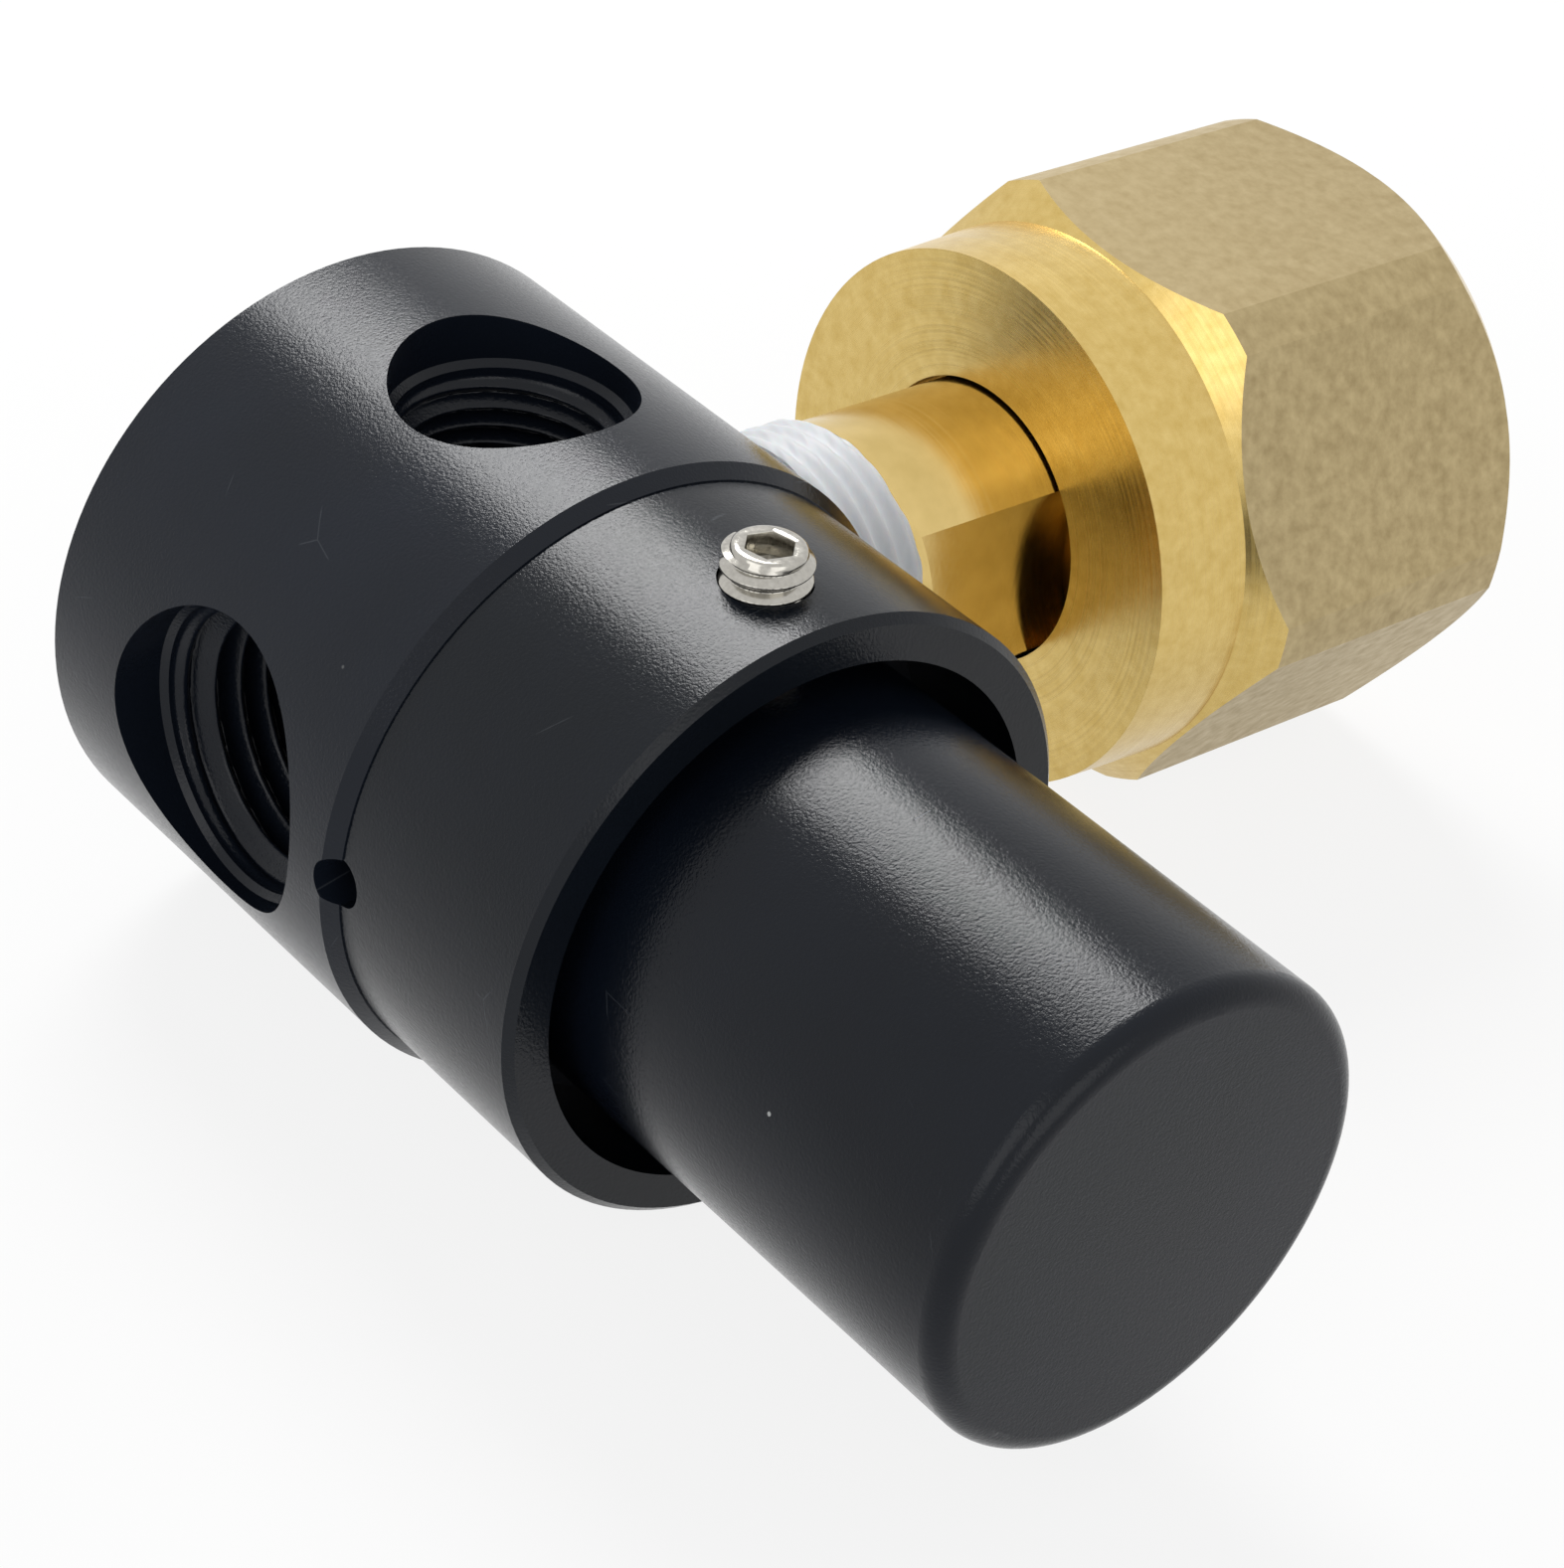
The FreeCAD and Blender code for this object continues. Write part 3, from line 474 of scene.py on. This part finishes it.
def about_nut(tree, place):
    """Radius = length of (place - axis) without its Y; tangent = Y axis x that, in world space."""
    middle = add(tree, VECTORS, {0: place, 1: (NUT_AXIS_X, 0, 0)}, operation="SUBTRACT")
    flat = add(tree, VECTORS, {0: middle, 1: (1, 0, 1)}, operation="MULTIPLY")
    radius = add(tree, VECTORS, {0: flat}, "Value", operation="LENGTH")
    along = add(tree, SPLIT, {0: place}, "Y")
    across = add(tree, VECTORS, {0: (0, 1, 0), 1: flat}, operation="CROSS_PRODUCT")
    world = add(tree, "ShaderNodeVectorTransform", {0: across}, vector_type="VECTOR",
                convert_from="OBJECT", convert_to="WORLD")
    tangent = add(tree, VECTORS, {0: world}, operation="NORMALIZE")
    return radius, along, tangent


# %% Turned brass
LATHE_RINGS = 0.16 * MM          # tool marks, drawn about twice as wide as the real ones to show
TARNISH = 2.5 * MM               # fingers and air dull it in patches of this size


def turned_brass(name, low, high, gloss):
    """Colour drifts with tarnish; gloss and bump follow rings = noise on (radius, along)."""
    material, tree, shader, place = finish_for(name)
    radius, along, tangent = about_nut(tree, place)
    around = add(tree, "ShaderNodeCombineXYZ", {0: radius, 1: along})
    rings = add(tree, NOISE, {"Vector": around, "Scale": 1 / LATHE_RINGS, "Detail": 2.0}, "Fac")
    tarnish = add(tree, NOISE, {"Vector": place, "Scale": 1 / TARNISH, "Detail": 4.0}, "Fac")
    dulled = add(tree, RANGE, {"Value": tarnish, "From Min": 0.35, "From Max": 0.65})
    colour = add(tree, MIX, {SHARE: dulled, COLOUR_A: linear(low), COLOUR_B: linear(high)},
                 MIXED_COLOUR, data_type="RGBA")
    roughness = add(tree, RANGE, {"Value": rings, "From Min": 0.3, "From Max": 0.7,
                                  "To Min": gloss, "To Max": gloss + 0.10})
    bump = add(tree, BUMP, {"Strength": 0.35, "Distance": 0.006 * MM, "Height": rings})
    plug(tree, shader, {"Base Color": colour, "Roughness": roughness, "Normal": bump, "Tangent": tangent,
                        "Metallic": 1.0, "Anisotropic": 0.6})
    print(name, len(tree.nodes), "nodes")
    return material


nipple_finish = turned_brass("brass_nipple_turned", "#cdb270", "#dabf7e", 0.16)
valve_finish = turned_brass("brass_valve_turned", "#c6ab68", "#d8bf80", 0.20)

# %% [markdown]
# ### The nut: turned back, drawn flats
#
# The nut was cut from hexagon bar. The lathe made its back, collar and cones bright; the flats
# keep the dull tan skin of the drawn bar, with mottles of about a millimetre. Two materials would
# need the mesh cut along every cone, so one material has both and a mask chooses between them.

# %% Where the drawn flats are
FLATS_FROM = 5.50 * MM           # along the axis from the nut's back face
FLATS_OUTSIDE = 13.2 * MM        # nothing nearer to the axis than this is a flat
MASK_BLEND = 0.1 * MM


def drawn_flats(tree, radius, along):
    """Flats = faces sideways (|normal Y| small) * beyond the collar * far enough from the axis."""
    normal = add(tree, "ShaderNodeTexCoord", {}, "Normal")
    facing = add(tree, MATHS, {0: add(tree, SPLIT, {0: normal}, "Y")}, operation="ABSOLUTE")
    sideways = add(tree, RANGE, {"Value": facing, "From Min": 0.10, "From Max": 0.04})
    beyond = add(tree, RANGE, {"Value": along, "From Min": nut_low.y + FLATS_FROM,
                               "From Max": nut_low.y + FLATS_FROM + MASK_BLEND})
    outside = add(tree, RANGE, {"Value": radius, "From Min": FLATS_OUTSIDE,
                                "From Max": FLATS_OUTSIDE + MASK_BLEND})
    placed = add(tree, MATHS, {0: sideways, 1: beyond}, operation="MULTIPLY")
    return add(tree, MATHS, {0: placed, 1: outside}, operation="MULTIPLY")


# %% The nut's brass
SKIN_MOTTLE = 0.8 * MM           # patches in the drawn skin
SKIN_GRIT = 0.3 * MM             # its fine roughness


def nut_brass():
    """Every colour, gloss and height = turned brass * (1 - flats) + drawn skin * flats."""
    material, tree, shader, place = finish_for("brass_nut_turned_and_drawn")
    radius, along, tangent = about_nut(tree, place)
    flats = drawn_flats(tree, radius, along)
    around = add(tree, "ShaderNodeCombineXYZ", {0: radius, 1: along})
    rings = add(tree, NOISE, {"Vector": around, "Scale": 1 / LATHE_RINGS, "Detail": 2.0}, "Fac")
    patina = add(tree, NOISE, {"Vector": place, "Scale": 1 / SKIN_MOTTLE, "Detail": 5.0, "Roughness": 0.6},
                 "Fac")
    grit = add(tree, NOISE, {"Vector": place, "Scale": 1 / SKIN_GRIT, "Detail": 2.0}, "Fac")
    colours = []
    for low, high, least, most in (("#c9ab62", "#dcc17c", 0.25, 0.75), ("#a3916a", "#baa87f", 0.30, 0.70)):
        share = add(tree, RANGE, {"Value": patina, "From Min": least, "From Max": most})
        colours.append(add(tree, MIX, {SHARE: share, COLOUR_A: linear(low), COLOUR_B: linear(high)},
                           MIXED_COLOUR, data_type="RGBA"))
    colour = add(tree, MIX, {SHARE: flats, COLOUR_A: colours[0], COLOUR_B: colours[1]},
                 MIXED_COLOUR, data_type="RGBA")
    turned_gloss = add(tree, RANGE, {"Value": rings, "From Min": 0.3, "From Max": 0.7,
                                     "To Min": 0.20, "To Max": 0.32})
    skin_gloss = add(tree, RANGE, {"Value": patina, "From Min": 0.3, "From Max": 0.7,
                                   "To Min": 0.50, "To Max": 0.38})
    gloss = add(tree, MIX, {SHARE: flats, NUMBER_A: turned_gloss, NUMBER_B: skin_gloss},
                MIXED_NUMBER, data_type="FLOAT")
    height = add(tree, MIX, {SHARE: flats, NUMBER_A: rings, NUMBER_B: grit},
                 MIXED_NUMBER, data_type="FLOAT")
    bump = add(tree, BUMP, {"Strength": 0.4, "Distance": 0.006 * MM, "Height": height})
    plug(tree, shader, {"Base Color": colour, "Roughness": gloss, "Normal": bump, "Tangent": tangent,
                        "Metallic": 1.0, "Anisotropic": 0.5})
    print(material.name, len(tree.nodes), "nodes")
    return material


nut_finish = nut_brass()

# %% [markdown]
# ### Steel, alloy and the small soft parts
#
# Most of these sit inside, but each has its own finish all the same. Bare metals get fine
# scratches or drawing lines in their roughness; rubber, urethane, nylon and tape are cloudy
# plastics with a faint orange-peel; the filter is a sintered bronze of round grains.

# %% Bare metals


def bare_metal(name, low, high, gloss, marks_mm=0.12):
    """Tool marks, `marks_mm` apart, move colour, gloss and bump together."""
    material, tree, shader, place = finish_for(name)
    marks = add(tree, NOISE, {"Vector": place, "Scale": 1 / (marks_mm * MM), "Detail": 3.0}, "Fac")
    colour = add(tree, MIX, {SHARE: marks, COLOUR_A: linear(low), COLOUR_B: linear(high)},
                 MIXED_COLOUR, data_type="RGBA")
    roughness = add(tree, RANGE, {"Value": marks, "From Min": 0.3, "From Max": 0.7,
                                  "To Min": gloss, "To Max": gloss + 0.12})
    bump = add(tree, BUMP, {"Strength": 0.2, "Distance": 0.004 * MM, "Height": marks})
    plug(tree, shader, {"Base Color": colour, "Roughness": roughness, "Normal": bump, "Metallic": 1.0})
    print(name, len(tree.nodes), "nodes")
    return material


# %% Moulded parts


def moulded(name, low, high, gloss, cloud_mm=0.5, ior=1.5, glow=0.0):
    """Clouds, `cloud_mm` wide, move colour, gloss and bump; glow is the light let in under the skin."""
    material, tree, shader, place = finish_for(name)
    cloud = add(tree, NOISE, {"Vector": place, "Scale": 1 / (cloud_mm * MM), "Detail": 3.0}, "Fac")
    colour = add(tree, MIX, {SHARE: cloud, COLOUR_A: linear(low), COLOUR_B: linear(high)},
                 MIXED_COLOUR, data_type="RGBA")
    roughness = add(tree, RANGE, {"Value": cloud, "From Min": 0.3, "From Max": 0.7,
                                  "To Min": gloss, "To Max": gloss + 0.1})
    bump = add(tree, BUMP, {"Strength": 0.3, "Distance": 0.02 * MM, "Height": cloud})
    plug(tree, shader, {"Base Color": colour, "Roughness": roughness, "Normal": bump, "IOR": ior,
                        "Subsurface Weight": glow, "Subsurface Scale": 0.4 * MM})
    print(name, len(tree.nodes), "nodes")
    return material


# %% Sintered bronze
BRONZE_BALL = 0.28 * MM          # across one grain of the filter


def sintered(name):
    """Colour, gloss and an inverted bump follow the distance from each ball's middle."""
    material, tree, shader, place = finish_for(name)
    balls = add(tree, CELLS, {"Vector": place, "Scale": 1 / BRONZE_BALL}, "Distance")
    colour = add(tree, MIX, {SHARE: balls, COLOUR_A: linear("#b98a4e"), COLOUR_B: linear("#4a3216")},
                 MIXED_COLOUR, data_type="RGBA")
    roughness = add(tree, RANGE, {"Value": balls, "From Min": 0.1, "From Max": 0.7,
                                  "To Min": 0.35, "To Max": 0.7})
    bump = add(tree, BUMP, {"Strength": 0.9, "Distance": 0.08 * MM, "Height": balls}, invert=True)
    plug(tree, shader, {"Base Color": colour, "Roughness": roughness, "Normal": bump, "Metallic": 1.0})
    print(name, len(tree.nodes), "nodes")
    return material


# %% [markdown]
# ## Every piece gets its finish
#
# The measured pieces come with plain colours, which are cleared first. Roughness is typical for
# each material: 0.06 for a polished ball, about 0.25 for turned steel, 0.4 for a plastic.

# %% Finishes of the measured pieces
finishes = {
    "main_body": body_finish, "bonnet": bonnet_finish, "adjusting_knob": knob_finish,
    "coupling_nut": nut_finish, "inlet_nipple": nipple_finish,
    "valve_seat": moulded("urethane_seat", "#b8934c", "#cfae68", 0.35),
    "seat_retainer": valve_finish, "poppet": valve_finish,
    "poppet_seal": moulded("nitrile_seal", "#0d0d0e", "#1a1a1b", 0.45),
    "piston": bare_metal("turned_aluminium_piston", "#b4b5b8", "#cfd0d2", 0.22),
    "piston_oring": moulded("nitrile_ring", "#0d0d0e", "#1a1a1b", 0.4),
    "poppet_spring": bare_metal("drawn_spring_wire", "#8d8e90", "#b4b4b6", 0.25),
    "main_spring": bare_metal("drawn_spring_wire_heavy", "#87888a", "#aeafb1", 0.25),
    "spring_follower": bare_metal("turned_steel_follower", "#9c9c9d", "#bdbdbe", 0.25),
    "thrust_ball": bare_metal("polished_bearing_steel", "#c9cacc", "#dcdcde", 0.06),
    "lock_screw": bare_metal("stainless_screw_blank", "#b9b7b2", "#d6d4cf", 0.2),
    "lock_pellet": moulded("nylon_pellet", "#d8d5c8", "#ebe8dc", 0.4, glow=0.2),
    "ptfe_tape": moulded("ptfe_tape_core", "#e6e8eb", "#f2f3f4", 0.5, glow=0.2),
    "inlet_filter": sintered("sintered_bronze"),
    "nipple_washer": moulded("nylon_washer", "#d5d2c4", "#e8e5d8", 0.4, glow=0.2),
}
for node_name, finish in finishes.items():
    materials = frame["nodes"][node_name].data.materials
    materials.clear()
    materials.append(finish)
print("nodes without a finish:", sorted(set(frame["nodes"]) - set(finishes)))

# %% Finishes of the new pieces
tape_finish = moulded("ptfe_tape_wound", "#d4d7db", "#e2e4e6", 0.42, cloud_mm=0.9, ior=1.38, glow=0.15)
grub_finish = bare_metal("stainless_screw_bright", "#9d9a93", "#c4c1b9", 0.10, marks_mm=0.25)
for piece, finish in ((left_thread, body_finish), (upper_thread, body_finish), (nut_thread, nut_finish),
                      (sealing_tape, tape_finish), (grub, grub_finish)):
    piece.data.materials.append(finish)
    print(piece.name, "is", finish.name)

# %% [markdown]
# ## Floor
#
# A wide pale floor catches a soft shadow. A floor lit only by lamps comes out grey, so part of it
# shines plain white, but only for the eye and for mirrors: the light that falls on the object
# stays that of the lamps.

# %% White for the eye, not for the light


def seen_by_eye_or_mirror(tree):
    """1 for rays from the camera, from gloss or through glass, 0 for light that falls on things."""
    ray = add(tree, "ShaderNodeLightPath", {}).node.outputs
    mirror = add(tree, MATHS, {0: ray["Is Glossy Ray"], 1: ray["Is Transmission Ray"]},
                 operation="MAXIMUM")
    return add(tree, MATHS, {0: ray["Is Camera Ray"], 1: mirror}, operation="MAXIMUM")


# %% The floor
FLOOR_HALF = 1.6                 # metres from its middle to its edge
FLOOR_CLOUD = 25 * MM            # faint unevenness of the paint
WHITE_SHARE = 0.85               # how much of the floor shines plain white to the eye
WHITE = (1, 1, 1, 1)

floor_mesh = bpy.data.meshes.new("pale_floor")
floor_corners = [(x * FLOOR_HALF, y * FLOOR_HALF, body_low.z)
                 for x, y in ((-1, -1), (1, -1), (1, 1), (-1, 1))]
floor_mesh.from_pydata(floor_corners, [], [(0, 1, 2, 3)])
floor = bpy.data.objects.new("pale_floor", floor_mesh)
bpy.context.scene.collection.objects.link(floor)
paint, floor_tree, floor_shader, floor_place = finish_for("pale_floor_paint")
cloud = add(floor_tree, NOISE, {"Vector": floor_place, "Scale": 1 / FLOOR_CLOUD}, "Fac")
pale = add(floor_tree, MIX, {SHARE: cloud, COLOUR_A: linear("#f4f4f4"), COLOUR_B: linear("#f8f8f8")},
           MIXED_COLOUR, data_type="RGBA")
plug(floor_tree, floor_shader, {"Base Color": pale, "Roughness": 0.9, "Specular IOR Level": 0.0})
lift = add(floor_tree, MATHS, {0: seen_by_eye_or_mirror(floor_tree), 1: WHITE_SHARE}, operation="MULTIPLY")
shine = add(floor_tree, "ShaderNodeEmission", {"Color": WHITE, "Strength": 1.0})
lifted = add(floor_tree, "ShaderNodeMixShader", {0: lift, 1: floor_shader.outputs[0], 2: shine})
plug(floor_tree, floor_tree.nodes["Material Output"], {"Surface": lifted})
floor_mesh.materials.append(paint)
print("floor at z =", round(body_low.z / MM, 3), "mm")

# %% [markdown]
# ## Light
#
# One overhead panel draws the bright band along the black cylinders, and a fill on each side keeps
# the brass warm. The white surroundings show in the metal and to the camera at full strength, and
# light the object at about a third of it, so that the shaded sides stay dark.

# %% The white surroundings
ROOM_LIGHT, ROOM_SEEN = 0.35, 1.0

world = bpy.data.worlds.new("pale_room")
bpy.context.scene.world = world
world.use_nodes = True
room = world.node_tree
room.nodes.clear()
strength = add(room, RANGE, {"Value": seen_by_eye_or_mirror(room), "To Min": ROOM_LIGHT, "To Max": ROOM_SEEN})
backdrop = add(room, "ShaderNodeBackground", {"Color": WHITE, "Strength": strength})
world_output = room.nodes.new("ShaderNodeOutputWorld")
plug(room, world_output, {0: backdrop})
print("surroundings", ROOM_LIGHT, "as light and", ROOM_SEEN, "as seen")

# %% Lamps


def panel_lamp(name, direction, distance, size, power):
    """A soft panel at centre + distance * direction, facing the object; metres and watts."""
    lamp = bpy.data.lights.new(name, "AREA")
    lamp.shape = "RECTANGLE"
    lamp.size, lamp.size_y = size
    lamp.energy = power
    stand = bpy.data.objects.new(name, lamp)
    away = Vector(direction).normalized()
    stand.location = (cad_box[0] + cad_box[1]) / 2 + away * distance
    stand.rotation_mode = "QUATERNION"
    stand.rotation_quaternion = away.to_track_quat("Z", "Y")
    bpy.context.scene.collection.objects.link(stand)
    print(name, [round(value, 3) for value in stand.location])


panel_lamp("overhead_panel", (-0.62, 0.2, 0.77), 0.45, (0.22, 0.17), 1.5)
panel_lamp("left_fill", (0.1, -0.9, 0.55), 0.9, (0.6, 0.6), 1.3)
panel_lamp("front_fill", (0.95, -0.2, 0.4), 0.9, (0.6, 0.6), 1.2)

# %% [markdown]
# ## Camera
#
# The camera looks down along the knob from the left and in front, through a long lens that keeps
# the two cylinders nearly straight. It is rolled a little, as a hand would hold it.

# %% The camera
CAMERA_PLACE = Vector((142.803, -103.749, 110.374)) * MM
CAMERA_AIM = Vector((23.416, 9.549, -3.250)) * MM
CAMERA_ROLL = math.radians(7.96)
CAMERA_LENS = 97.99
CAMERA_SENSOR = 36.0
NEAREST = 0.01

camera = bpy.data.cameras.new("studio_camera")
camera.lens = CAMERA_LENS
camera.sensor_width = CAMERA_SENSOR
camera.clip_start = NEAREST
tripod = bpy.data.objects.new("studio_camera", camera)
tripod.rotation_mode = "QUATERNION"
level = (CAMERA_AIM - CAMERA_PLACE).to_track_quat("-Z", "Y")
rolled = level.to_matrix().to_4x4() @ Matrix.Rotation(CAMERA_ROLL, 4, "Z")
tripod.matrix_world = Matrix.Translation(CAMERA_PLACE) @ rolled
bpy.context.scene.collection.objects.link(tripod)
bpy.context.scene.camera = tripod
bpy.context.scene.view_settings.view_transform = "Standard"
print("camera", round((CAMERA_PLACE - CAMERA_AIM).length / MM, 1), "mm from what it looks at")
